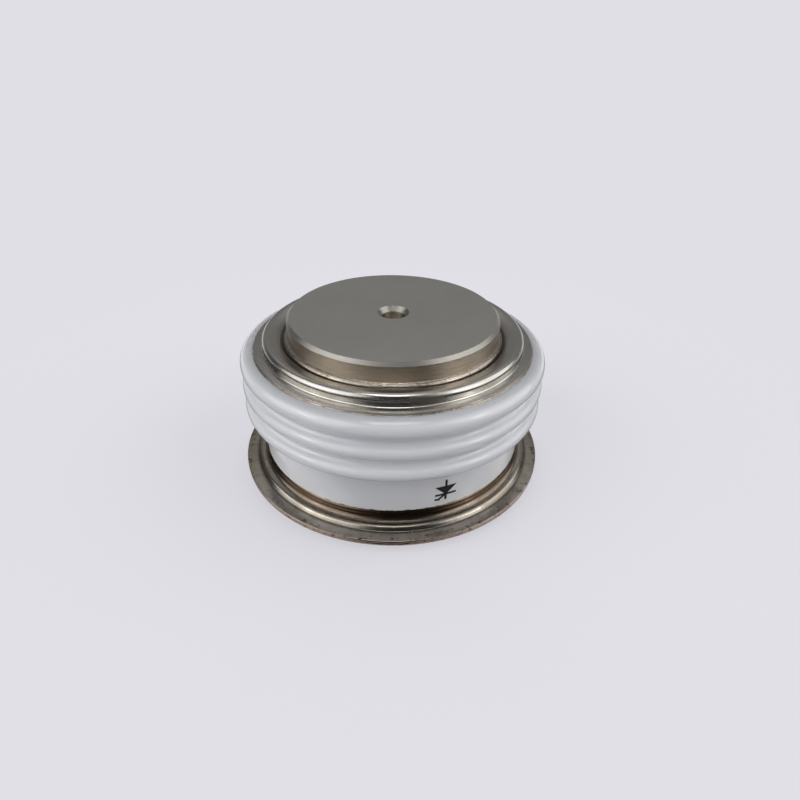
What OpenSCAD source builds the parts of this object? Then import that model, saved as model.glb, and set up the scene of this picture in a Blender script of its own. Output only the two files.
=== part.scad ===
// Disc thyristor: a sealed pressure-contact capsule with a ribbed ceramic wall and a copper pole at each end.
// The cathode contact face lies on z = 0, the anode contact face looks up and the gate tube points to +Y.

/* [Poles] */
// Height of the capsule over both contact faces
capsule_h = 26; // [25:0.5:36]
// Diameter of the flat contact face at each end
contact_d = 32; // [26:0.5:44]
// Chamfer round the edge of each contact face
edge_chamfer = 0.5; // [0.3:0.1:0.8]
// How far the cathode face stands out below its flange
cathode_rise = 1.3; // [0.8:0.1:2.4]
// Diameter of the locating hole in each contact face
locating_d = 3.6; // [3:0.1:5]
// Depth of a locating hole, countersink and straight wall together
locating_depth = 2.5; // [1.8:0.1:2.8]
// Width of the countersink round a locating hole
locating_sink = 0.7; // [0.3:0.1:1]

/* [Pressed flanges] */
// Thickness of the flange sheet
sheet_t = 0.4; // [0.3:0.05:0.5]
// Inside radius of a plain bend in the sheet
bend_r = 0.3; // [0.2:0.05:0.4]
// Straight height of the riser between brim and bead
riser_l = 0.57; // [0.3:0.01:0.8]
// Outside radius of the bead's outer shoulder
bead_r = 0.8; // [0.6:0.05:1]
// Outside radius of the bead's long back towards the pole
dome_r = 3.2; // [2.6:0.1:4]
// Straight length of the slope from the bead's back into the trough
slope_l = 0.3; // [0.1:0.05:0.6]
// Straight height of the collar round the pole
collar_l = 0.15; // [0.1:0.05:0.8]
// Width of the anode flange's brim on the ceramic
brim_w = 1.36; // [1:0.01:1.9]

/* [Weld ring] */
// Gap between the cathode flange's riser and the weld ring's sleeve
sleeve_gap = 0.5; // [0.3:0.05:1]
// Flat width of the lip brazed under the ceramic
lip_w = 1.1; // [0.8:0.05:1.3]
// Straight height of the sleeve
sleeve_l = 0.1; // [0.1:0.05:1]
// Inside radius of the cove from sleeve to shelf
cove_r = 0.9; // [0.5:0.05:1.2]
// Flat width of the shelf
shelf_w = 0.1; // [0.1:0.05:1]
// Straight length of the sloping step from shelf down to weld face
step_l = 0.25; // [0.1:0.05:0.5]
// Flat width of the weld face
weld_w = 1.76; // [1.2:0.01:4]

/* [Ceramic ring] */
// Gap between the poles and the ceramic's bore
pole_clear = 1.9; // [1.6:0.05:2.3]
// Wall of the ceramic's plain band
ceramic_wall = 3; // [2.4:0.1:4]
// Number of ribs
rib_count = 3; // [2:1:4]
// Radius of a rib's crest
crest_r = 1.05; // [0.85:0.05:1.25]
// Radius of the trough between two ribs
trough_r = 0.775; // [0.6:0.025:1]
// Radius of the shoulder above the top rib
shoulder_r = 1.6; // [1.2:0.05:1.9]
// Radius in the corner under the lowest rib
root_r = 0.8; // [0.5:0.05:0.9]
// Straight length of the underside of the lowest rib
under_l = 1.27; // [1:0.01:1.6]
// Height of the plain band under the ribs
band_h = 6.21; // [5.2:0.01:7.4]
// Radius of the ceramic's lower edge
foot_r = 0.3; // [0.2:0.05:0.5]

/* [Wafer stack] */
// Thickness of a silver contact foil
foil_t = 0.15; // [0.1:0.01:0.25]
// Thickness of the molybdenum disc on the cathode side
cathode_disc_t = 1; // [0.6:0.1:1.5]
// Thickness of the silicon wafer
wafer_t = 0.6; // [0.4:0.05:0.9]
// Thickness of the molybdenum disc on the anode side
anode_disc_t = 2; // [1.5:0.1:3]
// Step from the edge of the anode disc in to the wafer
wafer_inset = 0.2; // [0.1:0.05:0.4]
// Width of the bevel on the wafer's edge
bevel_w = 0.6; // [0.3:0.05:0.9]
// Step from the wafer's cathode side in to its disc
disc_inset = 1.2; // [0.8:0.1:2]
// Width of the edge rubber outside the anode disc
rubber_w = 0.9; // [0.6:0.05:1.1]
// Height of the edge rubber above and below the wafer
rubber_lap = 0.4; // [0.2:0.05:0.5]
// Width of the edge rubber under the wafer
rubber_foot = 0.6; // [0.3:0.05:0.7]
// Height of the centring ring above the cathode pole
ring_rise = 2.6; // [1.5:0.1:3]

/* [Gate] */
// Radius of the inner gate wire
lead_r = 0.35; // [0.25:0.05:0.45]
// Wall of the insulating sleeve on the wire
lead_wall = 0.45; // [0.3:0.05:0.55]
// Copper left above the sleeve in the gate groove
lead_cover = 1.45; // [1.2:0.05:3]
// Radius of the gate pin's head
head_r = 1.35; // [1:0.05:1.6]
// Height of the gate pin's head
head_h = 1.2; // [1:0.05:1.6]
// Radius of the gate pin's stem
stem_r = 0.7; // [0.4:0.05:0.9]
// Radius of the pin's flat tip on the wafer
tip_r = 0.35; // [0.2:0.05:0.6]
// Compressed length of the gate spring
spring_l = 1.8; // [1.6:0.05:2]
// Radius of the spring's wire
spring_wire_r = 0.15; // [0.1:0.01:0.18]
// Turns of the gate spring
spring_turns = 4; // [3:1:4]
// Wall of the insulating cup round the pin
bush_wall = 0.8; // [0.5:0.05:1]
// Floor of the insulating cup
bush_floor = 0.6; // [0.4:0.05:0.7]
// Outside radius of the gate tube in the ceramic
tube_r = 1.35; // [1.3:0.05:1.6]
// Wall of the gate tube's free end
tube_wall = 0.2; // [0.15:0.01:0.25]
// Length of the gate tube's slimmer free end
spigot_l = 2; // [1.5:0.1:2.2]
// How far the gate tube ends short of the flange rim
tube_setback = 0.3; // [0.2:0.05:0.6]
// Radius of the eyelet's washer on the ceramic
eyelet_r = 2.3; // [2.2:0.05:2.5]
// Thickness of the eyelet's sheet
eyelet_t = 0.3; // [0.2:0.05:0.35]
// Straight length of the eyelet's neck
neck_l = 0.5; // [0.3:0.05:0.9]
// Depth of the flat spot face round the gate hole
spot_depth = 0.5; // [0.4:0.05:0.8]
// Length of solder that closes the gate tube
seal_l = 1.8; // [1.2:0.1:2.2]

/* [Clearances] */
// Gap of a brazed or soldered joint
braze_gap = 0.05; // [0.02:0.01:0.1]
// Gap round a piece that slides or drops in
slide_gap = 0.15; // [0.1:0.01:0.2]

/* [Hidden] */
$fn = 96;
over = 1;
nickel = [0.60, 0.58, 0.55];
copper = [0.78, 0.52, 0.38];
alumina = [0.93, 0.93, 0.95];
molybdenum = [0.52, 0.53, 0.56];
silver = [0.86, 0.86, 0.84];
silicone = [0.85, 0.86, 0.82];
fluoroplastic = [0.95, 0.95, 0.92];

// Slopes of the bead's back and of the weld ring's step, both 3-4-5 triangles, and of the ribs' 7-24-25 flanks
dome_sin = 3 / 5;
dome_cos = 4 / 5;
step_sin = 4 / 5;
step_cos = 3 / 5;
flank_sin = 24 / 25;
flank_cos = 7 / 25;

// Radii of the capsule from the axis outwards
contact_r = contact_d / 2;
pole_r = contact_r + edge_chamfer;
collar_in = pole_r + braze_gap;
trough_w = bend_r * (1 + dome_sin) + slope_l * dome_cos;
riser_r = collar_in + sheet_t + trough_w + dome_r * dome_sin + bead_r;
brim_r = riser_r + brim_w;
sleeve_mid = riser_r + sleeve_gap + sheet_t / 2;
bend_mid = bend_r + sheet_t / 2;
shelf_mid = cove_r + sheet_t / 2;
lip_in = sleeve_mid - bend_mid - lip_w;
step_run = 2 * bend_mid * step_sin + step_l * step_cos;
rim_r = sleeve_mid + shelf_mid + shelf_w + step_run + weld_w;
bore_r = pole_r + pole_clear;
band_r = bore_r + ceramic_wall;

// Heights of the shell from the cathode face upwards
step_drop = 2 * bend_mid * (1 - step_cos) + step_l * step_sin;
weld_z = cathode_rise + sheet_t;
foot_z = weld_z + sheet_t + step_drop + shelf_mid + sleeve_l + bend_mid;

// Ribs, whose crest and trough arcs meet on the flanks, with heights above the ceramic's foot
rib_pitch = 2 * (crest_r + trough_r) * flank_sin;
rib_depth = (crest_r + trough_r) * (1 - flank_cos);
rib_r = band_r + (crest_r + root_r) * (1 - flank_cos) + under_l * flank_sin;
root_edge = band_h + root_r * flank_sin;
under_edge = root_edge + under_l * flank_cos;
low_crest = under_edge + crest_r * flank_sin;
top_crest = low_crest + (rib_count - 1) * rib_pitch;
ceramic_h = top_crest + shoulder_r;
brim_z = foot_z + ceramic_h;

// Gate line, level with the middle of the plain band
gate_z = foot_z + band_h / 2;
sleeve_r = lead_r + braze_gap + lead_wall;
groove_r = sleeve_r + slide_gap;
head_z = gate_z - head_h / 2;
bush_in = head_r + slide_gap;
bush_r = bush_in + bush_wall;
gate_bore_r = bush_r + slide_gap;
cup_z = head_z - spring_l;
gate_bore_z = cup_z - bush_floor;
spring_r = bush_in - slide_gap - spring_wire_r;
pilot_r = spring_r - spring_wire_r - slide_gap;
tube_in = sleeve_r + slide_gap / 2;
spigot_r = tube_in + tube_wall;
tube_y0 = bore_r - slide_gap;
tube_y1 = rim_r - tube_setback;
spot_y = band_r - spot_depth;
lead_y0 = head_r / 2;
lead_y1 = tube_y1 - seal_l / 3;

// Wafer stack from the cathode pole's inner face upwards
cathode_pole_h = gate_z + sleeve_r + lead_cover;
cathode_disc_z = cathode_pole_h + foil_t;
wafer_z = cathode_disc_z + cathode_disc_t;
anode_disc_z = wafer_z + wafer_t;
anode_foil_z = anode_disc_z + anode_disc_t;
anode_pole_z = anode_foil_z + foil_t;
wafer_r = pole_r - wafer_inset;
wafer_foot_r = wafer_r - bevel_w;
cathode_disc_r = wafer_foot_r - disc_inset;
stack_hole_r = gate_bore_r + slide_gap;
rubber_r = pole_r + rubber_w;
ring_ledge_z = wafer_z - rubber_lap - slide_gap;

function heading(a) = [cos(a), sin(a)];

// Wedge of at most a quarter turn, wide enough to cut a circle of radius r
module wedge(r, from, to) {
    far = 2 * r;
    polygon([[0, 0], far * heading(from), sqrt(2) * far * heading((from + to) / 2), far * heading(to)]);
}

module pie(r, from, to) {
    intersection() {
        circle(r);
        wedge(r, from, to);
    }
}

// One bend of the sheet; what follows it is placed at its far end
module sheet_bend(turn, inside, t) {
    side = sign(turn);
    mid = inside + t / 2;
    translate([0, side * mid]) {
        if (side != 0) {
            intersection() {
                difference() {
                    circle(inside + t);
                    circle(inside);
                }
                wedge(inside + t, -90 * side, -90 * side + turn);
            }
        }
        rotate(turn) translate([0, -side * mid]) children();
    }
}

// Section of a pressed sheet along +X: steps of [straight length, bend angle, inside bend radius]
module sheet_section(steps, t = sheet_t, i = 0) {
    if (i < len(steps)) {
        if (steps[i][0] > 0) translate([0, -t / 2]) square([steps[i][0], t]);
        translate([steps[i][0], 0]) sheet_bend(steps[i][1], steps[i][2], t) sheet_section(steps, t, i + 1);
    }
}

// Flexing ring between an outer edge of radius edge_r and a pole: brim, riser, bead, trough and collar
module flex_ring(edge_r, z) {
    dome_turn = asin(dome_sin);
    translate([0, 0, z]) rotate_extrude() translate([edge_r, sheet_t / 2]) mirror([1, 0]) sheet_section([
        [edge_r - riser_r - bend_r, 90, bend_r],
        [riser_l, -90, bead_r - sheet_t],
        [0, -dome_turn, dome_r - sheet_t],
        [slope_l, dome_turn, bend_r],
        [0, 90, bend_r],
        [collar_l, 0, 0]
    ]);
}

// Copper block standing on its contact face, with the locating hole drilled into that face
module drilled_pole(h) {
    hole_r = locating_d / 2;
    drill_tip = hole_r / tan(59);
    rotate_extrude() polygon([
        [0, locating_depth + drill_tip],
        [hole_r, locating_depth],
        [hole_r, locating_sink],
        [hole_r + locating_sink, 0],
        [contact_r, 0],
        [pole_r, edge_chamfer],
        [pole_r, h - edge_chamfer],
        [contact_r, h],
        [0, h]
    ]);
}

// Flat disc or washer of the wafer stack
module stack_disc(r, z, t, hole_r = 0) {
    translate([0, 0, z]) difference() {
        cylinder(r = r, h = t);
        if (hole_r > 0) translate([0, 0, -over]) cylinder(r = hole_r, h = t + 2 * over);
    }
}

// Turned piece on the gate line: its section has radius across and +Y upwards
module on_gate_line() {
    translate([0, 0, gate_z]) rotate([-90, 0, 0]) rotate_extrude() children();
}

// Round-bottomed groove along the gate line, open upwards
module gate_groove(length) {
    translate([0, length, gate_z]) rotate([90, 0, 0]) linear_extrude(length) {
        for (a = [180, 270]) pie(groove_r, a, a + 90);
        translate([-groove_r, 0]) square([2 * groove_r, cathode_pole_h - gate_z + over]);
    }
}

// Part of the ceramic's section between two heights, from the bore out to radius r
module ceramic_strip(z0, z1, r) {
    translate([bore_r, z0]) square([r - bore_r, z1 - z0]);
}

// Crest arc of a rib, from its lower flank up to its upper flank or only to its widest point
module rib_crest(z, above) {
    below = crest_r * flank_sin;
    intersection() {
        ceramic_strip(z - below, z + above, rib_r + over);
        union() {
            ceramic_strip(z - below, z + above, rib_r - crest_r);
            translate([rib_r - crest_r, z]) circle(crest_r);
        }
    }
}

module rib_trough(z) {
    half = trough_r * flank_sin;
    centre_r = rib_r - rib_depth + trough_r;
    difference() {
        ceramic_strip(z - half, z + half, centre_r);
        translate([centre_r, z]) circle(trough_r);
    }
}

// Sloping underside of the lowest rib and the round corner below it
module rib_underside() {
    root_edge_r = band_r + root_r * (1 - flank_cos);
    polygon([
        [bore_r, root_edge],
        [root_edge_r, root_edge],
        [root_edge_r + under_l * flank_sin, under_edge],
        [bore_r, under_edge]
    ]);
    difference() {
        ceramic_strip(band_h, root_edge, band_r + root_r);
        translate([band_r + root_r, band_h]) circle(root_r);
    }
}

module ceramic_section() {
    ceramic_strip(0, ceramic_h, band_r - foot_r);
    translate([band_r - foot_r, foot_r]) pie(foot_r, 270, 360);
    ceramic_strip(foot_r, band_h, band_r);
    rib_underside();
    for (i = [0 : rib_count - 1]) {
        rib_crest(low_crest + i * rib_pitch, i < rib_count - 1 ? crest_r * flank_sin : 0);
    }
    for (i = [1 : rib_count - 1]) {
        rib_trough(low_crest + (i - 0.5) * rib_pitch);
    }
    ceramic_strip(top_crest, ceramic_h, rib_r - shoulder_r);
    translate([rib_r - shoulder_r, top_crest]) pie(shoulder_r, 0, 90);
}

// Pole with the anode contact face, clamped against the cooler
module anode_pole() {
    color(nickel) translate([0, 0, capsule_h]) mirror([0, 0, 1]) drilled_pole(capsule_h - anode_pole_z);
}

// Sheet ring brazed between the anode pole and the top of the ceramic
module anode_flange() {
    color(nickel) flex_ring(brim_r, brim_z);
}

// Glazed insulator wall with ribs, drilled and spot-faced for the gate tube
module ceramic_ring() {
    color(alumina) difference() {
        translate([0, 0, foot_z]) rotate_extrude() ceramic_section();
        on_gate_line() square([tube_r + braze_gap, rim_r]);
        on_gate_line() translate([0, spot_y]) square([eyelet_r + slide_gap, rim_r]);
    }
}

// Sheet ring brazed under the ceramic, with the flat face that the cathode flange is welded to
module weld_ring() {
    color(nickel) rotate_extrude() translate([lip_in, foot_z - sheet_t / 2]) sheet_section([
        [lip_w, -90, bend_r],
        [sleeve_l, 90, cove_r],
        [shelf_w, -asin(step_sin), bend_r],
        [step_l, asin(step_sin), bend_r],
        [weld_w, 0, 0]
    ]);
}

// Sheet ring brazed to the cathode pole and welded to the weld ring at the rim
module cathode_flange() {
    color(nickel) flex_ring(rim_r, cathode_rise);
}

// Pole with the cathode contact face, bored for the gate pin and grooved for its wire
module cathode_pole() {
    color(nickel) difference() {
        drilled_pole(cathode_pole_h);
        translate([0, 0, gate_bore_z]) cylinder(r = gate_bore_r, h = cathode_pole_h);
        gate_groove(pole_r + over);
    }
}

module silicon_wafer() {
    color(molybdenum) translate([0, 0, wafer_z]) cylinder(r1 = wafer_foot_r, r2 = wafer_r, h = wafer_t);
}

module anode_molybdenum_disc() {
    color(molybdenum) stack_disc(pole_r, anode_disc_z, anode_disc_t);
}

module cathode_molybdenum_disc() {
    color(molybdenum) stack_disc(cathode_disc_r, cathode_disc_z, cathode_disc_t, stack_hole_r);
}

module anode_silver_foil() {
    color(silver) stack_disc(contact_r, anode_foil_z, foil_t);
}

module cathode_silver_foil() {
    color(silver) stack_disc(cathode_disc_r, cathode_pole_h, foil_t, stack_hole_r);
}

// Silicone moulded round the edges of the wafer and the anode disc
module wafer_edge_rubber() {
    color(silicone) rotate_extrude() polygon([
        [wafer_foot_r - rubber_foot, wafer_z - rubber_lap],
        [rubber_r, wafer_z - rubber_lap],
        [rubber_r, anode_disc_z + rubber_lap],
        [pole_r, anode_disc_z + rubber_lap],
        [pole_r, anode_disc_z],
        [wafer_r, anode_disc_z],
        [wafer_foot_r, wafer_z],
        [wafer_foot_r - rubber_foot, wafer_z]
    ]);
}

// Plastic ring that slips over the cathode pole and centres the wafer's edge rubber
module centring_ring() {
    ring_z = gate_z + tube_r + slide_gap;
    ring_r = bore_r - slide_gap;
    color(fluoroplastic) rotate_extrude() polygon([
        [pole_r + slide_gap, ring_z],
        [ring_r, ring_z],
        [ring_r, cathode_pole_h + ring_rise],
        [rubber_r + slide_gap, cathode_pole_h + ring_rise],
        [rubber_r + slide_gap, ring_ledge_z],
        [pole_r + slide_gap, ring_ledge_z]
    ]);
}

// Gate pin: pilot for the spring, head with a side hole for the wire, stem and flat tip on the wafer
module gate_contact() {
    pilot_z = cup_z + spring_l / 2;
    tip_z = wafer_z - (stem_r - tip_r);
    color(silver) difference() {
        rotate_extrude() polygon([
            [0, pilot_z],
            [pilot_r, pilot_z],
            [pilot_r, head_z],
            [head_r, head_z],
            [head_r, head_z + head_h],
            [stem_r, head_z + head_h],
            [stem_r, tip_z],
            [tip_r, wafer_z],
            [0, wafer_z]
        ]);
        on_gate_line() translate([0, lead_y0]) square([lead_r + braze_gap, head_r]);
    }
}

// Round wire wound at an even pitch between the cup's floor and the pin's head
module gate_spring() {
    sides = 8;
    segments = 20 * spring_turns;
    climb = spring_l - 2 * spring_wire_r;
    points = [
        for (i = [0 : segments], j = [0 : sides - 1])
            let (a = 360 * spring_turns * i / segments, b = 360 * j / sides)
            let (r = spring_r + spring_wire_r * cos(b))
            [r * cos(a), r * sin(a), spring_wire_r * (1 + sin(b)) + climb * i / segments]
    ];
    walls = [
        for (i = [0 : segments - 1], j = [0 : sides - 1])
            let (k = (j + 1) % sides)
            [i * sides + j, (i + 1) * sides + j, (i + 1) * sides + k, i * sides + k]
    ];
    first_end = [for (j = [0 : sides - 1]) j];
    last_end = [for (j = [sides - 1 : -1 : 0]) segments * sides + j];
    color(nickel) translate([0, 0, cup_z]) polyhedron(points, concat(walls, [first_end, last_end]));
}

// Insulating cup in the gate bore, slotted for the wire
module gate_bush() {
    color(fluoroplastic) difference() {
        translate([0, 0, gate_bore_z]) cylinder(r = bush_r, h = cathode_pole_h - gate_bore_z);
        translate([0, 0, cup_z]) cylinder(r = bush_in, h = cathode_pole_h);
        gate_groove(bush_r + over);
    }
}

module gate_lead() {
    color(copper) on_gate_line() translate([0, lead_y0]) square([lead_r, lead_y1 - lead_y0]);
}

module gate_lead_sleeve() {
    sleeve_y0 = head_r + slide_gap;
    sleeve_y1 = spot_y - slide_gap;
    color(fluoroplastic) on_gate_line() translate([lead_r + braze_gap, sleeve_y0])
        square([lead_wall, sleeve_y1 - sleeve_y0]);
}

// Metal tube brazed through the ceramic, with a slimmer free end for the outer gate lead
module gate_tube() {
    spigot_y = tube_y1 - spigot_l;
    color(nickel) on_gate_line() polygon([
        [tube_in, tube_y0],
        [tube_r, tube_y0],
        [tube_r, spigot_y],
        [spigot_r, spigot_y],
        [spigot_r, tube_y1],
        [tube_in, tube_y1]
    ]);
}

// Pressed eyelet brazed to the spot face and round the gate tube
module gate_tube_eyelet() {
    eyelet_bend_r = eyelet_t / 2;
    washer_w = eyelet_r - tube_r - braze_gap - eyelet_t - eyelet_bend_r;
    color(nickel) on_gate_line() translate([eyelet_r, spot_y + eyelet_t / 2]) mirror([1, 0])
        sheet_section([[washer_w, 90, eyelet_bend_r], [neck_l, 0, 0]], eyelet_t);
}

// Solder that closes the tube round the end of the wire, domed a little over the tube's end
module gate_tube_seal() {
    seal_r = tube_in - braze_gap / 2;
    dome_h = tube_setback / 2;
    hole_r = lead_r + braze_gap / 2;
    seal_y = tube_y1 - seal_l;
    color(silver) on_gate_line() polygon([
        [hole_r, seal_y],
        [seal_r, seal_y],
        [seal_r, tube_y1],
        [seal_r - dome_h, tube_y1 + dome_h],
        [0, tube_y1 + dome_h],
        [0, lead_y1],
        [hole_r, lead_y1]
    ]);
}

anode_pole();
anode_flange();
ceramic_ring();
weld_ring();
cathode_flange();
cathode_pole();
silicon_wafer();
anode_molybdenum_disc();
cathode_molybdenum_disc();
anode_silver_foil();
cathode_silver_foil();
wafer_edge_rubber();
centring_ring();
gate_contact();
gate_spring();
gate_bush();
gate_lead();
gate_lead_sleeve();
gate_tube();
gate_tube_eyelet();
gate_tube_seal();
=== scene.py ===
import math

import bpy
from mathutils import Matrix, Vector


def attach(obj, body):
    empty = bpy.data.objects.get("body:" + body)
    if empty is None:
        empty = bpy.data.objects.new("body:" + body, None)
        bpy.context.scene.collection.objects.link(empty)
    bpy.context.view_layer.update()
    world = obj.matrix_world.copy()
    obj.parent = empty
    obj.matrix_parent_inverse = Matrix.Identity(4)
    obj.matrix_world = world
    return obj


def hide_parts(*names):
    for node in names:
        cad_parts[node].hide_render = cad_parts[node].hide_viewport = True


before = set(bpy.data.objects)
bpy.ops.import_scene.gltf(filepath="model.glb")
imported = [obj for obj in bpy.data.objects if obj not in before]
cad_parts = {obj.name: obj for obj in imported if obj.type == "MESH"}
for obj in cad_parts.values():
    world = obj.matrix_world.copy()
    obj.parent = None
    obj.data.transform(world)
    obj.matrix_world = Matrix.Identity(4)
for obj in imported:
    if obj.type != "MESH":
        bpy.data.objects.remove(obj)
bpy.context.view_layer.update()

# Ceramic ring: the insulating body of the capsule, pressed and fired white alumina.
# Its three ribs lengthen the creepage path, and a clear glaze covers all but the brazed ends,
# where a grey metal layer for the braze shows as an uneven line.
MM = 0.001
FOOT_LINE = 4.5 * MM
FOOT_CREEP = 0.9 * MM
TOP_EDGE = 21.35 * MM


def linear(hex_colour):
    """Turns an sRGB hex colour into the linear colour that a shader socket takes."""
    channels = [int(hex_colour[i:i + 2], 16) / 255 for i in (1, 3, 5)]
    return [c / 12.92 if c <= 0.04045 else ((c + 0.055) / 1.055) ** 2.4 for c in channels] + [1.0]


def new_finish(name):
    """Starts an empty node material."""
    finish = bpy.data.materials.new(name)
    finish.use_nodes = True
    finish.node_tree.nodes.clear()
    return finish


def add_node(finish, kind, inputs, **settings):
    """Adds one shader node with its settings, fills or links its inputs, and gives back its outputs.

    A Mix of colours has its factor at input 0, its colours at 6 and 7, and its result at output 2.
    """
    node = finish.node_tree.nodes.new("ShaderNode" + kind)
    for name, value in settings.items():
        setattr(node, name, value)
    for socket, value in inputs.items():
        if isinstance(value, bpy.types.NodeSocket):
            finish.node_tree.links.new(value, node.inputs[socket])
        else:
            node.inputs[socket].default_value = value
    return node.outputs


def dress(finish, *nodes):
    """Gives CAD nodes their finish."""
    for node in nodes:
        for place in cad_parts[node].material_slots:
            place.material = finish


def per_mm(size_mm):
    """Scale of a texture whose features are this many millimetres apart, on coordinates in metres."""
    return 1 / (size_mm * MM)


# Glazed alumina: a milky body under a hard clear glaze, so soft white with sharp thin glints, slightly wavy,
# with a few dark pinholes, a rough grey line of metallising at the foot, and painted shade greying the top
# edge under the brim
glaze = new_finish("glazed_alumina")
place = add_node(glaze, "TexCoord", {})["Object"]
cloud = add_node(glaze, "TexNoise", {"Vector": place, "Scale": per_mm(9), "Detail": 3.0})["Fac"]
body = add_node(glaze, "Mix", {0: cloud, 6: linear("#E3E5EA"), 7: linear("#EDEEF0")}, data_type="RGBA")[2]
cells = add_node(glaze, "TexVoronoi", {"Vector": place, "Scale": per_mm(5)})
pit = add_node(glaze, "MapRange", {"Value": cells["Distance"], "From Min": 0.02, "From Max": 0.035,
                                   "To Min": 0.6, "To Max": 0.0})["Result"]
pitted = add_node(glaze, "Mix", {0: pit, 6: body, 7: linear("#8F938F")}, data_type="RGBA")[2]
height = add_node(glaze, "SeparateXYZ", {"Vector": place})["Z"]
ragged = add_node(glaze, "TexNoise", {"Vector": place, "Scale": per_mm(0.7), "Detail": 4.0})["Fac"]
creep = add_node(glaze, "Math", {0: ragged, 1: -FOOT_CREEP, 2: height}, operation="MULTIPLY_ADD")["Value"]
foot = add_node(glaze, "MapRange", {"Value": creep, "From Min": FOOT_LINE - 0.42 * MM,
                                    "From Max": FOOT_LINE - 0.34 * MM,
                                    "To Min": 1.0, "To Max": 0.0})["Result"]
# Painted shade: the glaze greys towards its top edge, where the anode ring's brim overhangs it
top = add_node(glaze, "MapRange", {"Value": height, "From Min": TOP_EDGE - 0.5 * MM, "From Max": TOP_EDGE,
                                   "To Max": 0.6})["Result"]
brim_shaded = add_node(glaze, "Mix", {0: top, 6: pitted, 7: linear("#8E9196")}, data_type="RGBA")[2]
colour = add_node(glaze, "Mix", {0: foot, 6: brim_shaded, 7: linear("#5E5346")}, data_type="RGBA")[2]
ripple = add_node(glaze, "TexNoise", {"Vector": place, "Scale": per_mm(2.4), "Detail": 1.0})["Fac"]
wavy = add_node(glaze, "Bump", {"Strength": 0.35, "Distance": 0.03 * MM, "Height": ripple})["Normal"]
gloss = add_node(glaze, "MapRange", {"Value": cloud, "To Min": 0.06, "To Max": 0.13})["Result"]
shader = add_node(glaze, "BsdfPrincipled",
                  {"Base Color": colour, "Roughness": gloss, "IOR": 1.52, "Normal": wavy,
                   "Subsurface Weight": 0.4, "Subsurface Radius": (1.0, 0.95, 0.9),
                   "Subsurface Scale": 0.8 * MM})["BSDF"]
add_node(glaze, "OutputMaterial", {"Surface": shader})
dress(glaze, "ceramic_ring")

# Polarity mark: the common circuit sign for a thyristor, pad printed in black ink on the plain band.
# Its triangle points to the cathode, with the gate drawn beside the bar; the rest of the band is bare.
# It is drawn flat in front of the band, pressed on to it and given the thickness of the ink.
MARK_AZIMUTH = math.radians(22.25)
MARK_HEIGHT = 7.4
BAND_R = 21.4
DRAWN_AT = -(BAND_R + 0.5)
INK = 0.015
TRIANGLE_WIDE = 1.95
TRIANGLE_TALL = 1.05
TRIANGLE_UP = 0.2
# Width, height, across, up and lean of each stroke, in millimetres and degrees
STROKES = {
    "anode_stroke": (0.36, 1.3, 0, 1.2, 0),
    "cathode_bar": (3.3, 0.36, 0, -0.78, 0),
    "cathode_stroke": (0.36, 1.1, 0, -1.25, 0),
    "gate_slope": (0.36, 1.2, -0.55, -1.15, 52),
    "gate_end": (0.8, 0.34, -1.3, -1.6, 8),
}
bpy.ops.object.select_all(action="DESELECT")
bpy.ops.mesh.primitive_circle_add(vertices=3, radius=MM, fill_type="NGON", rotation=(math.pi / 2, math.pi, 0),
                                  location=(0, DRAWN_AT * MM, (MARK_HEIGHT + TRIANGLE_UP) * MM))
triangle = bpy.context.object
triangle.scale = (TRIANGLE_WIDE, TRIANGLE_TALL, 1)
strokes = [triangle]
for width, tall, across, up, lean in STROKES.values():
    bpy.ops.mesh.primitive_plane_add(size=MM, rotation=(math.pi / 2, math.radians(lean), 0),
                                     location=(across * MM, DRAWN_AT * MM, (MARK_HEIGHT + up) * MM))
    bpy.context.object.scale = (width, tall, 1)
    strokes.append(bpy.context.object)
bpy.ops.object.select_all(action="DESELECT")
for stroke in strokes:
    stroke.select_set(True)
bpy.context.view_layer.objects.active = triangle
bpy.ops.object.join()
mark = bpy.context.object
mark.name = "polarity_mark"
bpy.ops.object.transform_apply(location=True, rotation=True, scale=True)
bpy.ops.object.mode_set(mode="EDIT")
bpy.ops.mesh.select_all(action="SELECT")
bpy.ops.mesh.quads_convert_to_tris()
bpy.ops.mesh.subdivide(number_cuts=7)
bpy.ops.object.mode_set(mode="OBJECT")
wrap = mark.modifiers.new("wrap", "SHRINKWRAP")
wrap.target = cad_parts["ceramic_ring"]
wrap.wrap_method = "PROJECT"
wrap.use_project_y = True
wrap.use_positive_direction = True
wrap.offset = INK * MM
bpy.ops.object.modifier_apply(modifier="wrap")
bpy.ops.object.mode_set(mode="EDIT")
bpy.ops.mesh.select_all(action="SELECT")
bpy.ops.mesh.normals_make_consistent(inside=False)
bpy.ops.object.mode_set(mode="OBJECT")
film = mark.modifiers.new("film", "SOLIDIFY")
film.thickness = INK * MM
film.offset = -1
bpy.ops.object.modifier_apply(modifier="film")
mark.rotation_euler = (0, 0, MARK_AZIMUTH)
bpy.ops.object.transform_apply(rotation=True)

# Black epoxy ink: dense and slightly glossy, with thin greyer spots where the pad lifted
ink = new_finish("black_pad_ink")
place = add_node(ink, "TexCoord", {})["Object"]
lifted = add_node(ink, "TexNoise", {"Vector": place, "Scale": per_mm(0.5), "Detail": 3.0})["Fac"]
thin = add_node(ink, "MapRange", {"Value": lifted, "From Min": 0.45, "From Max": 0.75})["Result"]
colour = add_node(ink, "Mix", {0: thin, 6: linear("#08080B"), 7: linear("#1B1B21")}, data_type="RGBA")[2]
dull = add_node(ink, "MapRange", {"Value": lifted, "To Min": 0.5, "To Max": 0.7})["Result"]
uneven = add_node(ink, "Bump", {"Strength": 0.4, "Distance": 0.01 * MM, "Height": lifted})["Normal"]
shader = add_node(ink, "BsdfPrincipled", {"Base Color": colour, "Roughness": dull, "Normal": uneven})["BSDF"]
add_node(ink, "OutputMaterial", {"Surface": shader})
mark.data.materials.append(ink)
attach(mark, "root")
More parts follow.
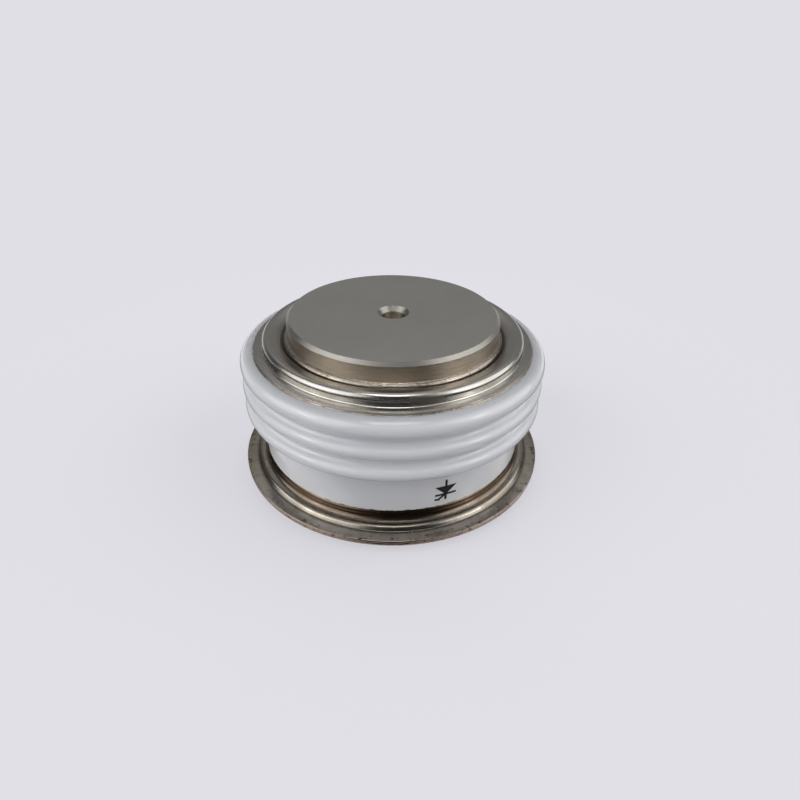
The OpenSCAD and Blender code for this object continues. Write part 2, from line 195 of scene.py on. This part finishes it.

# Poles: the two copper contact pieces, turned, nickel plated and lapped flat on their faces.
# The anode pole is the upper one here; each is brazed into the collar of its flange.
# Satin nickel plate: a soft grey sheen with fine lapping grain on the faces; the turned chamfers are toned
# darker as painted shade; short level streaks on the walls draw each gleam out up and down, and the walls'
# darker brown tone is a painted warm reflection
satin_nickel = new_finish("satin_nickel_plate")
place = add_node(satin_nickel, "TexCoord", {})
upright = add_node(satin_nickel, "SeparateXYZ", {"Vector": place["Normal"]})["Z"]
level = add_node(satin_nickel, "Math", {0: upright}, operation="ABSOLUTE")["Value"]
slant = add_node(satin_nickel, "MapRange", {"Value": level, "From Min": 0.3, "From Max": 0.6})["Result"]
flat = add_node(satin_nickel, "MapRange", {"Value": level, "From Min": 0.8, "From Max": 0.95})["Result"]
cloud = add_node(satin_nickel, "TexNoise",
                 {"Vector": place["Object"], "Scale": per_mm(6), "Detail": 3.0})["Fac"]
lapped = add_node(satin_nickel, "TexNoise",
                  {"Vector": place["Object"], "Scale": per_mm(0.3), "Detail": 2.0})["Fac"]
along = add_node(satin_nickel, "Mapping",
                 {"Vector": place["Object"], "Scale": (per_mm(2.5), per_mm(2.5), per_mm(0.14))})["Vector"]
turned = add_node(satin_nickel, "TexNoise", {"Vector": along, "Scale": 1.0, "Detail": 3.0})["Fac"]
grain = add_node(satin_nickel, "Mix", {0: flat, 2: turned, 3: lapped})[0]
face_tone = add_node(satin_nickel, "Mix", {0: cloud, 6: linear("#B5B2AC"), 7: linear("#C1BEB8")},
                     data_type="RGBA")[2]
# Painted reflection: the walls' darker warm brown stands in for what they mirror; the streaks between its two
# tones are turning marks
wall_streaks_and_painted_reflection = add_node(satin_nickel, "Mix", {0: turned, 6: linear("#968875"), 7: linear("#C2B7A8")},
                     data_type="RGBA")[2]
# Painted shade: the chamfers take a darker tone than the faces
face_tone_and_chamfer_shade = add_node(satin_nickel, "Mix", {0: flat, 6: linear("#989590"), 7: face_tone}, data_type="RGBA")[2]
colour = add_node(satin_nickel, "Mix", {0: slant, 6: wall_streaks_and_painted_reflection, 7: face_tone_and_chamfer_shade}, data_type="RGBA")[2]
sheen = add_node(satin_nickel, "MapRange", {"Value": grain, "From Min": 0.25, "From Max": 0.75,
                                            "To Min": 0.32, "To Max": 0.42})["Result"]
depth = add_node(satin_nickel, "MapRange", {"Value": slant, "To Min": 0.6, "To Max": 0.06})["Result"]
lay = add_node(satin_nickel, "Bump", {"Strength": depth, "Distance": 0.05 * MM, "Height": grain})["Normal"]
drawn = add_node(satin_nickel, "MapRange", {"Value": slant, "To Min": 0.85, "To Max": 0.0})["Result"]
round_axis = add_node(satin_nickel, "VectorMath", {0: place["Object"], 1: (0, 0, 1)},
                      operation="CROSS_PRODUCT")["Vector"]
shader = add_node(satin_nickel, "BsdfPrincipled",
                  {"Base Color": colour, "Roughness": sheen, "Metallic": 1.0, "Normal": lay,
                   "Anisotropic": drawn, "Anisotropic Rotation": 0.25, "Tangent": round_axis})["BSDF"]
add_node(satin_nickel, "OutputMaterial", {"Surface": shader})
dress(satin_nickel, "anode_pole", "cathode_pole")

# Flexing rings and weld ring: 0.4 mm nickel-iron sheet, drawn in a press and nickel plated.
# The anode ring is brazed to the ceramic by its brim; the cathode ring's wide brim is welded at the rim
# to the weld ring, which steps up to the ceramic's foot.
SHEET = 0.4
SHEARED_EDGE = 0.1
COLLAR_OUT = 16.95
COLLAR_ROLL = 0.26
NEAR = 0.01
SAME_POINT = 0.002
ROUND_STEPS = 240
BEND_STEP = 7


def draw_line(name, start, heading, steps, closed=False):
    """Draws a line in the XZ plane, in millimetres: each step runs straight on and then turns on a radius."""
    bpy.ops.object.select_all(action="DESELECT")
    bpy.ops.mesh.primitive_plane_add(size=MM, location=(start[0] * MM, 0, start[1] * MM))
    piece = bpy.context.object
    piece.name = name
    bpy.ops.object.transform_apply(location=True)
    bpy.ops.object.mode_set(mode="EDIT")
    bpy.ops.mesh.merge(type="CENTER")
    point = Vector(start)
    for length, turn, radius in steps:
        ahead = Vector((math.cos(math.radians(heading)), math.sin(math.radians(heading))))
        if length:
            shift = ahead * length * MM
            bpy.ops.mesh.extrude_vertices_move(TRANSFORM_OT_translate={"value": (shift.x, 0, shift.y)})
            point += ahead * length
        if radius:
            side = math.copysign(1, turn)
            middle = point + Vector((-ahead.y, ahead.x)) * radius * side
            bpy.ops.mesh.spin(steps=max(3, round(abs(turn) / BEND_STEP)), angle=math.radians(abs(turn)),
                              center=(middle.x * MM, 0, middle.y * MM), axis=(0, side, 0))
            left = math.radians(heading + turn)
            point = middle + Vector((math.sin(left), -math.cos(left))) * radius * side
        heading += turn
    bpy.ops.object.mode_set(mode="OBJECT")
    if closed:
        piece.data.vertices[0].select = True
        bpy.ops.object.mode_set(mode="EDIT")
        bpy.ops.mesh.edge_face_add()
        bpy.ops.object.mode_set(mode="OBJECT")
    return piece


def spin_round(piece):
    """Spins a piece's line round the capsule's axis and closes the seam."""
    bpy.ops.object.mode_set(mode="EDIT")
    bpy.ops.mesh.select_all(action="SELECT")
    bpy.ops.mesh.remove_doubles(threshold=SAME_POINT * MM)
    bpy.ops.mesh.spin(steps=ROUND_STEPS, angle=2 * math.pi, center=(0, 0, 0), axis=(0, 0, 1))
    bpy.ops.mesh.select_all(action="SELECT")
    bpy.ops.mesh.remove_doubles(threshold=SAME_POINT * MM)
    bpy.ops.mesh.normals_make_consistent(inside=False)
    bpy.ops.object.mode_set(mode="OBJECT")


def roll_collar(piece):
    """Rolls the outer edge of a ring's collar, if it has one, down to the pole, so that only a lip stands."""
    bpy.ops.object.mode_set(mode="EDIT")
    bpy.ops.mesh.select_mode(type="VERT")
    bpy.ops.mesh.select_all(action="DESELECT")
    bpy.ops.object.mode_set(mode="OBJECT")
    outer = [point for point in piece.data.vertices if abs(point.co.xy.length / MM - COLLAR_OUT) < NEAR]
    top = max((point.co.z for point in outer), default=0)
    for point in outer:
        point.select = point.co.z > top - NEAR * MM
    bpy.ops.object.mode_set(mode="EDIT")
    if outer:
        bpy.ops.mesh.bevel(offset=COLLAR_ROLL * MM, segments=5)
    bpy.ops.object.mode_set(mode="OBJECT")


# Nickel sheet: bright from the press, with faint rings from the die, fine scuffs outwards and soft brown
# clouds of heat tint, and painted shade darkening two grooves and the cove under the ceramic's foot;
# the welded pair by the rim is stained more, with smears, dark specks and a coppery edge
# Share of stain, share of painted shade in the cove, and the darker and the brighter tone of each plate
PLATES = {
    "bright_nickel_sheet": (0.2, 0.0, "#B4B1AB", "#C3C0BA"),
    "heat_tinted_nickel_sheet": (0.36, 0.85, "#9F988D", "#B5AEA3"),
}
# Spacing of the scuffs and of the smears round the ring, in millimetres at this radius
SCUFF = 0.25
SMEAR = 1.5
RUBBED_R = 20.5
# Radius and strength of painted shade in two grooves: round the collar and at the foot of the weld ring's
# step
SHADED_GROOVES = {17.2: 0.9, 23.12: 0.55}
# Radii between which the cove's painted shade ends and the weld face's smears, the seam's specks and the edge
# begin
COVE_END = (21.5 * MM, 22.1 * MM)
WELD_FACE = (23.1 * MM, 23.6 * MM)
WELD_SEAM = (23.7 * MM, 24.5 * MM)
RIM_EDGE = (24.93 * MM, 24.99 * MM)
sheet_finish = {}
for name, (stain, cove_shade, dark, bright) in PLATES.items():
    nickel = new_finish(name)
    place = add_node(nickel, "TexCoord", {})["Object"]
    spot = add_node(nickel, "Mapping", {"Vector": place, "Scale": (1, 1, 0)})["Vector"]
    radius = add_node(nickel, "VectorMath", {0: spot}, operation="LENGTH")["Value"]
    height = add_node(nickel, "SeparateXYZ", {"Vector": place})["Z"]
    section = add_node(nickel, "CombineXYZ", {"X": radius, "Z": height})["Vector"]
    rings = add_node(nickel, "TexNoise", {"Vector": section, "Scale": per_mm(0.25), "Detail": 3.0})["Fac"]
    cloud = add_node(nickel, "TexNoise", {"Vector": place, "Scale": per_mm(5), "Detail": 5.0,
                                          "Distortion": 0.6})["Fac"]
    speckle = add_node(nickel, "TexNoise", {"Vector": place, "Scale": per_mm(0.6), "Detail": 3.0})["Fac"]
    outwards = add_node(nickel, "VectorMath", {0: spot}, operation="NORMALIZE")["Vector"]
    rubbed = add_node(nickel, "TexNoise", {"Vector": outwards, "Scale": RUBBED_R / SCUFF,
                                           "Detail": 2.0})["Fac"]
    smear = add_node(nickel, "TexNoise", {"Vector": outwards, "Scale": RUBBED_R / SMEAR,
                                          "Detail": 4.0})["Fac"]
    clean = add_node(nickel, "Mix", {0: speckle, 6: linear(dark), 7: linear(bright)}, data_type="RGBA")[2]
    tint = add_node(nickel, "MapRange", {"Value": cloud, "From Min": 0.42, "From Max": 0.66,
                                         "To Max": stain})["Result"]
    tinted = add_node(nickel, "Mix", {0: tint, 6: clean, 7: linear("#7D6850")}, data_type="RGBA")[2]
    # Painted shade: the cove under the ceramic's foot is darkened brown
    cove_shading = add_node(nickel, "MapRange", {"Value": radius, "From Min": COVE_END[0], "From Max": COVE_END[1],
                                         "To Min": cove_shade, "To Max": 0.0})["Result"]
    stained_and_shaded = add_node(nickel, "Mix", {0: cove_shading, 6: tinted, 7: linear("#564433")}, data_type="RGBA")[2]
    # Painted shade: each groove is darkened
    for groove, groove_shade in SHADED_GROOVES.items():
        off = add_node(nickel, "Math", {0: radius, 1: groove * MM}, operation="SUBTRACT")["Value"]
        near = add_node(nickel, "Math", {0: off}, operation="ABSOLUTE")["Value"]
        groove_shading = add_node(nickel, "MapRange", {"Value": near, "From Min": 0.1 * MM, "From Max": 0.45 * MM,
                                             "To Min": groove_shade, "To Max": 0.0})["Result"]
        stained_and_shaded = add_node(nickel, "Mix", {0: groove_shading, 6: stained_and_shaded, 7: linear("#2B2721")}, data_type="RGBA")[2]
    smoky = add_node(nickel, "MapRange", {"Value": smear, "From Min": 0.5, "From Max": 0.75,
                                          "To Max": stain})["Result"]
    weld = add_node(nickel, "MapRange", {"Value": radius, "From Min": WELD_FACE[0],
                                         "From Max": WELD_FACE[1]})["Result"]
    smears = add_node(nickel, "Math", {0: weld, 1: smoky}, operation="MULTIPLY")["Value"]
    sooty = add_node(nickel, "Mix", {0: smears, 6: stained_and_shaded, 7: linear("#5A4C40")}, data_type="RGBA")[2]
    seam = add_node(nickel, "MapRange", {"Value": radius, "From Min": WELD_SEAM[0],
                                         "From Max": WELD_SEAM[1]})["Result"]
    burn_specks_and_foot_shade = add_node(nickel, "MapRange", {"Value": speckle, "From Min": 0.56, "From Max": 0.68})["Result"]
    specks = add_node(nickel, "Math", {0: seam, 1: burn_specks_and_foot_shade}, operation="MULTIPLY")["Value"]
    seamed = add_node(nickel, "Mix", {0: specks, 6: sooty, 7: linear("#4A3F36")}, data_type="RGBA")[2]
    edge = add_node(nickel, "MapRange", {"Value": radius, "From Min": RIM_EDGE[0], "From Max": RIM_EDGE[1],
                                         "To Max": 0.4})["Result"]
    colour = add_node(nickel, "Mix", {0: edge, 6: seamed, 7: linear("#8A6A5B")}, data_type="RGBA")[2]
    sheen = add_node(nickel, "MapRange", {"Value": cloud, "From Min": 0.3, "From Max": 0.7,
                                          "To Min": 0.2, "To Max": 0.28 + 0.1 * stain})["Result"]
    lay = add_node(nickel, "Bump", {"Strength": 0.4, "Distance": 0.004 * MM, "Height": rings})["Normal"]
    peel = add_node(nickel, "Bump", {"Strength": 0.4, "Distance": 0.01 * MM, "Height": speckle,
                                     "Normal": lay})["Normal"]
    scuffs = add_node(nickel, "Bump", {"Strength": 0.5, "Distance": 0.02 * MM, "Height": rubbed,
                                       "Normal": peel})["Normal"]
    shader = add_node(nickel, "BsdfPrincipled",
                      {"Base Color": colour, "Roughness": sheen, "Metallic": 1.0, "Normal": scuffs})["BSDF"]
    add_node(nickel, "OutputMaterial", {"Surface": shader})
    sheet_finish[name] = nickel

# Lines through the middle of each sheet, as straight length, bend in degrees and bend radius
# From the brim inwards: the riser, the domed bead, the trough and the collar on the pole
BEAD = [(0.57, 90, 0.6), (0, 36.8699, 3.0), (0.3, -36.8699, 0.5), (0, -90, 0.5), (0.15, 0, 0)]
ANODE_LINE = [(1.06, -90, 0.5)] + BEAD
CATHODE_LINE = [(4.31, -90, 0.5)] + BEAD
# From the lip under the ceramic outwards: the cove, the shelf, the step and the weld face
WELD_LINE = [(1.1, -90, 0.5), (0.1, 90, 1.1), (0.1, -53.1301, 0.5), (0.25, 53.1301, 0.5), (1.76, 0, 0)]
# Each ring with the node that it stands for, its plate, and where and how its line starts
PRESSED = (
    ("pressed_anode_flange", "anode_flange", "bright_nickel_sheet", (21.75, 21.5496), 180, ANODE_LINE),
    ("pressed_weld_ring", "weld_ring", "heat_tinted_nickel_sheet", (19.49, 4.2), 0, WELD_LINE),
    ("pressed_cathode_flange", "cathode_flange", "heat_tinted_nickel_sheet", (25.0, 1.5), 180, CATHODE_LINE),
)
for name, node, plate, start, heading, steps in PRESSED:
    ring = draw_line(name, start, heading, steps)
    spin_round(ring)
    wall = ring.modifiers.new("sheet", "SOLIDIFY")
    wall.thickness = SHEET * MM
    wall.offset = 0
    wall.use_even_offset = True
    bpy.ops.object.modifier_apply(modifier="sheet")
    roll_collar(ring)
    shear = ring.modifiers.new("sheared_edge", "BEVEL")
    shear.width = SHEARED_EDGE * MM
    shear.segments = 3
    shear.limit_method = "ANGLE"
    shear.angle_limit = math.radians(60)
    bpy.ops.object.modifier_apply(modifier="sheared_edge")
    bpy.ops.object.shade_smooth_by_angle(angle=math.radians(40))
    ring.data.materials.append(sheet_finish[plate])
    dress(sheet_finish[plate], node)
    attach(ring, "root")
    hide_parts(node)

# Braze seams: silver-copper filler that ran into each joint in the furnace and set in a hollow fillet,
# round both collars on the poles, along the anode ring's brim and under the ceramic's foot.
# Silver braze: pale and lumpy, with dull brown spots of flux, so it sparkles in places;
# painted shade darkens it low down, under the ceramic's foot and round the lower collar
SHADED_BELOW = (6 * MM, 8 * MM)
braze = new_finish("silver_braze")
place = add_node(braze, "TexCoord", {})["Object"]
lumps = add_node(braze, "TexNoise", {"Vector": place, "Scale": per_mm(0.3), "Detail": 3.0})["Fac"]
flux = add_node(braze, "TexNoise", {"Vector": place, "Scale": per_mm(0.5), "Detail": 4.0})["Fac"]
spots = add_node(braze, "MapRange", {"Value": flux, "From Min": 0.5, "From Max": 0.65,
                                     "To Max": 0.8})["Result"]
filler = add_node(braze, "Mix", {0: spots, 6: linear("#B0A295"), 7: linear("#6E6253")}, data_type="RGBA")[2]
height = add_node(braze, "SeparateXYZ", {"Vector": place})["Z"]
# Painted shade: the braze darkens below these heights
burn_specks_and_foot_shade = add_node(braze, "MapRange", {"Value": height, "From Min": SHADED_BELOW[0], "From Max": SHADED_BELOW[1],
                                     "To Min": 0.8, "To Max": 0.0})["Result"]
colour = add_node(braze, "Mix", {0: burn_specks_and_foot_shade, 6: filler, 7: linear("#463828")}, data_type="RGBA")[2]
sheen = add_node(braze, "MapRange", {"Value": flux, "To Min": 0.2, "To Max": 0.5})["Result"]
crust = add_node(braze, "Bump", {"Strength": 0.7, "Distance": 0.05 * MM, "Height": lumps})["Normal"]
shader = add_node(braze, "BsdfPrincipled",
                  {"Base Color": colour, "Roughness": sheen, "Metallic": 1.0, "Normal": crust})["BSDF"]
add_node(braze, "OutputMaterial", {"Surface": shader})

lumpy = bpy.data.textures.new("braze_lumps", "CLOUDS")
lumpy.noise_scale = 0.35 * MM
# From the pole's wall down over the collar's lip, and back under
COLLAR_BEAD = [(0.5, -30, 0.3), (0.05, -110, 0), (0.3, -35, 0), (0.3, 0, 0)]
# From under the brim out past its edge, and back up to it in a hollow
BRIM_BEAD = [(0.26, 90, 0), (0.03, 90, 0), (0.04, -90, 0.14), (0, 90, 0), (0.08, 0, 0)]
# From under the ceramic's foot outwards, and back down to the weld ring in a hollow
FOOT_BEAD = [(0.62, -90, 0), (0.02, -90, 0), (0.1, 90, 0.12), (0.07, -90, 0), (0.4, 0, 0)]
FILLETS = (
    ("anode_collar_braze", (16.48, 23.1), -28, COLLAR_BEAD),
    ("cathode_collar_braze", (16.48, 3.05), -28, COLLAR_BEAD),
    ("brim_braze", (21.66, 21.32), 0, BRIM_BEAD),
    ("foot_braze", (20.5, 4.41), 0, FOOT_BEAD),
)
for name, start, heading, steps in FILLETS:
    fillet = draw_line(name, start, heading, steps, closed=True)
    spin_round(fillet)
    ripple = fillet.modifiers.new("lumps", "DISPLACE")
    ripple.texture = lumpy
    ripple.texture_coords = "LOCAL"
    ripple.strength = 0.05 * MM
    bpy.ops.object.modifier_apply(modifier="lumps")
    bpy.ops.object.shade_smooth_by_angle(angle=math.radians(50))
    fillet.data.materials.append(braze)
    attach(fillet, "root")

# Gate tube and eyelet: the thin tube that the gate lead comes out through, and the flanged eyelet
# that seals it to the ceramic; both nickel plated sheet, closed at the tip with a drop of solder.
dress(sheet_finish["bright_nickel_sheet"], "gate_tube", "gate_tube_eyelet")

# Inner pieces: the stack that is clamped between the poles, and the sprung gate contact in the cathode pole.
# Nothing of it is seen on a sealed capsule, so each has a plain finish with the grain of how it was made:
# dark and light tone, metallic, least and most roughness, grain in millimetres along X, Y and Z
INNER_FINISHES = {
    # Silicon with an evaporated aluminium layer: pale and nearly a mirror
    "metallised_silicon": (("silicon_wafer",), "#8D9096", "#A4A6AA", 1.0, 0.10, 0.22, (0.3, 0.3, 0.3)),
    # Molybdenum: hard grey metal, lapped flat
    "lapped_molybdenum": (("anode_molybdenum_disc", "cathode_molybdenum_disc"),
                          "#83858A", "#94969B", 1.0, 0.3, 0.45, (0.25, 0.25, 0.25)),
    # Silver: soft bright foil and a drawn contact
    "soft_silver": (("anode_silver_foil", "cathode_silver_foil", "gate_contact"),
                    "#D2D1CC", "#E2E1DD", 1.0, 0.15, 0.3, (0.8, 0.8, 0.8)),
    # Silicone rubber: cast round the wafer's edge, milky and dull
    "silicone_rubber": (("wafer_edge_rubber",), "#CFCFC6", "#DCDCD4", 0.0, 0.45, 0.6, (0.6, 0.6, 0.6)),
    # Fluoroplastic: turned, white and waxy, with fine level tool marks
    "turned_fluoroplastic": (("centring_ring", "gate_bush", "gate_lead_sleeve"),
                             "#E6E6E2", "#EFEFEC", 0.0, 0.35, 0.5, (3, 3, 0.15)),
    # Spring steel wire: drawn, grey and half bright
    "drawn_spring_steel": (("gate_spring",), "#87878A", "#9B9B9D", 1.0, 0.22, 0.35, (0.2, 0.2, 0.2)),
    # Copper wire: drawn, warm and half bright
    "drawn_copper": (("gate_lead",), "#B4714C", "#C98A63", 1.0, 0.22, 0.4, (0.15, 2, 0.15)),
    # Soft solder: dull and slightly grainy where it set
    "soft_solder": (("gate_tube_seal",), "#94938F", "#A9A8A3", 1.0, 0.3, 0.5, (0.35, 0.35, 0.35)),
}
for name, (nodes, dark, bright, metallic, least, most, pitch) in INNER_FINISHES.items():
    finish = new_finish(name)
    place = add_node(finish, "TexCoord", {})["Object"]
    spot = add_node(finish, "Mapping", {"Vector": place, "Scale": [per_mm(p) for p in pitch]})["Vector"]
    grain = add_node(finish, "TexNoise", {"Vector": spot, "Scale": 1.0, "Detail": 3.0})["Fac"]
    colour = add_node(finish, "Mix", {0: grain, 6: linear(dark), 7: linear(bright)}, data_type="RGBA")[2]
    sheen = add_node(finish, "MapRange", {"Value": grain, "From Min": 0.3, "From Max": 0.7,
                                          "To Min": least, "To Max": most})["Result"]
    lay = add_node(finish, "Bump", {"Strength": 0.5, "Distance": 0.01 * MM, "Height": grain})["Normal"]
    shader = add_node(finish, "BsdfPrincipled",
                      {"Base Color": colour, "Roughness": sheen, "Metallic": metallic, "Normal": lay})["BSDF"]
    add_node(finish, "OutputMaterial", {"Surface": shader})
    dress(finish, *nodes)

# Floor: one pale sheet that the capsule stands on, far wider than the view.
# It takes the soft shadow at the foot of the capsule and runs out into the even tone of the wall behind;
# from below it is clear, so that the underside can be looked at.
BACKDROP = "#E0DFE5"
FLOOR_SIZE = 8000 * MM
FLOOR_DROP = 0.02 * MM
FLOOR_TONE = "#959499"
FLOOR_LIFT = 0.66
SHADOW_FADE = (40 * MM, 120 * MM)
bpy.ops.object.select_all(action="DESELECT")
bpy.ops.mesh.primitive_plane_add(size=FLOOR_SIZE, location=(0, 0, -FLOOR_DROP))
floor = bpy.context.object
floor.name = "floor"
bpy.ops.object.transform_apply(location=True)
# Matt pale paper: takes the shadow near the capsule and glows evenly further away
paper = new_finish("matt_pale_paper")
place = add_node(paper, "TexCoord", {})["Object"]
reach = add_node(paper, "VectorMath", {0: place}, operation="LENGTH")["Value"]
away = add_node(paper, "MapRange", {"Value": reach, "From Min": SHADOW_FADE[0], "From Max": SHADOW_FADE[1]},
                interpolation_type="SMOOTHSTEP")["Result"]
ray = add_node(paper, "LightPath", {})
seen = add_node(paper, "Math", {0: ray["Is Camera Ray"], 1: ray["Is Glossy Ray"]},
                operation="MAXIMUM")["Value"]
shown = add_node(paper, "Math", {0: seen, 1: ray["Is Transmission Ray"]}, operation="MAXIMUM")["Value"]
even = add_node(paper, "Math", {0: away, 1: shown}, operation="MULTIPLY")["Value"]
lift = add_node(paper, "Math", {0: shown, 1: FLOOR_LIFT}, operation="MULTIPLY")["Value"]
lit = add_node(paper, "BsdfDiffuse", {"Color": linear(FLOOR_TONE)})["BSDF"]
raised = add_node(paper, "Emission", {"Color": linear(BACKDROP), "Strength": lift})["Emission"]
near = add_node(paper, "AddShader", {0: lit, 1: raised})["Shader"]
glow = add_node(paper, "Emission", {"Color": linear(BACKDROP), "Strength": 1.0})["Emission"]
above = add_node(paper, "MixShader", {0: even, 1: near, 2: glow})["Shader"]
under = add_node(paper, "NewGeometry", {})["Backfacing"]
clear = add_node(paper, "BsdfTransparent", {})["BSDF"]
shader = add_node(paper, "MixShader", {0: under, 1: above, 2: clear})["Shader"]
add_node(paper, "OutputMaterial", {"Surface": shader})
floor.data.materials.append(paper)

# Black cards: studio flags that lie on the floor in front, under the camera, and at both sides.
# Only reflections see them, so the bright metal gets its dark edges.
CARD_GAP = 26 * MM
CARD_REACH = 400 * MM
CARD_LIFT = 0.5 * MM
# Left, right, front and back edge of each card
CARDS = {
    "front_card": (-CARD_REACH, CARD_REACH, -CARD_REACH, -CARD_GAP),
    "left_card": (-CARD_REACH, -CARD_GAP, -CARD_GAP, 2 * CARD_GAP),
    "right_card": (CARD_GAP, CARD_REACH, -CARD_GAP, 2 * CARD_GAP),
}
# Black velvet: swallows nearly all light
velvet = new_finish("black_velvet")
shader = add_node(velvet, "BsdfDiffuse", {"Color": linear("#1A1A1C")})["BSDF"]
add_node(velvet, "OutputMaterial", {"Surface": shader})
for name, (left, right, front, back) in CARDS.items():
    bpy.ops.object.select_all(action="DESELECT")
    bpy.ops.mesh.primitive_plane_add(size=1, location=((left + right) / 2, (front + back) / 2, CARD_LIFT))
    card = bpy.context.object
    card.name = name
    card.scale = (right - left, back - front, 1)
    bpy.ops.object.transform_apply(location=True, scale=True)
    card.visible_camera = False
    card.visible_diffuse = False
    card.visible_shadow = False
    card.data.materials.append(velvet)

# Studio: a pale low wall behind, above it a grey panel that lightens upwards, and a dark room in front.
# Soft lamps stand left and right of the camera, each with a hot middle; dim fills light the shadows,
# and a small lamp overhead draws glints. Edges are places on the sphere of directions, from -1 to 1.
WALL_TOP = 0.12
PANEL_TAPER = 0.6
PANEL_EDGE = (-0.1, 0.45)
PANEL_RISE = (0.55, 0.6)
BACK_GREY = 0.215
HIGH_GREY = 0.55
FRONT_GREY = 0.03
studio = bpy.data.worlds.new("studio")
bpy.context.scene.world = studio
studio.use_nodes = True
studio.node_tree.nodes.clear()
way = add_node(studio, "TexCoord", {})["Generated"]
axes = add_node(studio, "SeparateXYZ", {"Vector": way})
aside = add_node(studio, "Math", {0: axes["X"]}, operation="ABSOLUTE")["Value"]
behind = add_node(studio, "Math", {0: aside, 1: -PANEL_TAPER, 2: axes["Y"]},
                  operation="MULTIPLY_ADD")["Value"]
depth = add_node(studio, "MapRange", {"Value": behind, "From Min": PANEL_EDGE[0], "From Max": PANEL_EDGE[1]},
                 interpolation_type="SMOOTHSTEP")["Result"]
panel = add_node(studio, "MapRange", {"Value": axes["Z"], "From Min": PANEL_RISE[0],
                                      "From Max": PANEL_RISE[1],
                                      "To Min": BACK_GREY, "To Max": HIGH_GREY})["Result"]
room = add_node(studio, "MapRange", {"Value": depth, "To Min": FRONT_GREY, "To Max": panel})["Result"]
low = add_node(studio, "MapRange", {"Value": axes["Z"], "From Min": WALL_TOP / 2, "From Max": WALL_TOP,
                                    "To Min": 1.0, "To Max": 0.0}, interpolation_type="SMOOTHSTEP")["Result"]
wall = add_node(studio, "Math", {0: low, 1: depth}, operation="MULTIPLY")["Value"]
ray = add_node(studio, "LightPath", {})
shown = add_node(studio, "Math", {0: wall, 1: ray["Is Camera Ray"]}, operation="MAXIMUM")["Value"]
light = add_node(studio, "Mix", {0: shown, 6: room, 7: linear(BACKDROP)}, data_type="RGBA")[2]
sky = add_node(studio, "Background", {"Color": light})["Background"]
add_node(studio, "OutputWorld", {"Surface": sky})


def add_lamp(name, azimuth, elevation, strength, spread, fills=True, glints=True):
    """Adds a lamp by its azimuth right of the camera, its height and its spread, in degrees.

    A lamp that doesn't fill is seen by polished surfaces alone, and one that doesn't glint by matt ones.
    """
    turn = math.radians(azimuth)
    rise = math.radians(elevation)
    towards = Vector((math.sin(turn) * math.cos(rise), -math.cos(turn) * math.cos(rise), math.sin(rise)))
    bpy.ops.object.light_add(type="SUN", rotation=towards.to_track_quat("Z", "Y").to_euler())
    lamp = bpy.context.object
    lamp.name = name
    lamp.data.energy = strength
    lamp.data.angle = math.radians(spread)
    lamp.visible_diffuse = fills
    lamp.visible_glossy = glints


add_lamp("left_lamp", -64, 30, 1.75, 68)
add_lamp("right_lamp", 84, 30, 1.65, 68)
add_lamp("left_middle", -64, 30, 0.25, 15, fills=False)
add_lamp("right_middle", 68, 30, 0.25, 15, fills=False)
add_lamp("left_fill", -85, 5, 0.5, 90, glints=False)
add_lamp("right_fill", 85, 5, 0.5, 90, glints=False)
add_lamp("back_fill", 180, 35, 0.8, 90, glints=False)
add_lamp("top_lamp", 0, 85, 0.65, 26, fills=False)

# Camera: close above the front edge, where the photograph was taken from.
CAMERA_AT = Vector((1.27, -81.47, 62.28)) * MM
CAMERA_DOWN = math.radians(32.80)
CAMERA_ROLL = math.radians(1.03)
CAMERA_LENS = 25.57
bpy.ops.object.camera_add()
camera = bpy.context.object
camera.name = "camera"
camera.matrix_world = (Matrix.Translation(CAMERA_AT) @ Matrix.Rotation(math.pi / 2 - CAMERA_DOWN, 4, "X")
                       @ Matrix.Rotation(CAMERA_ROLL, 4, "Z"))
camera.data.lens = CAMERA_LENS
camera.data.sensor_width = 36
camera.data.clip_start = 1 * MM
bpy.context.scene.camera = camera
bpy.context.scene.view_settings.view_transform = "Standard"
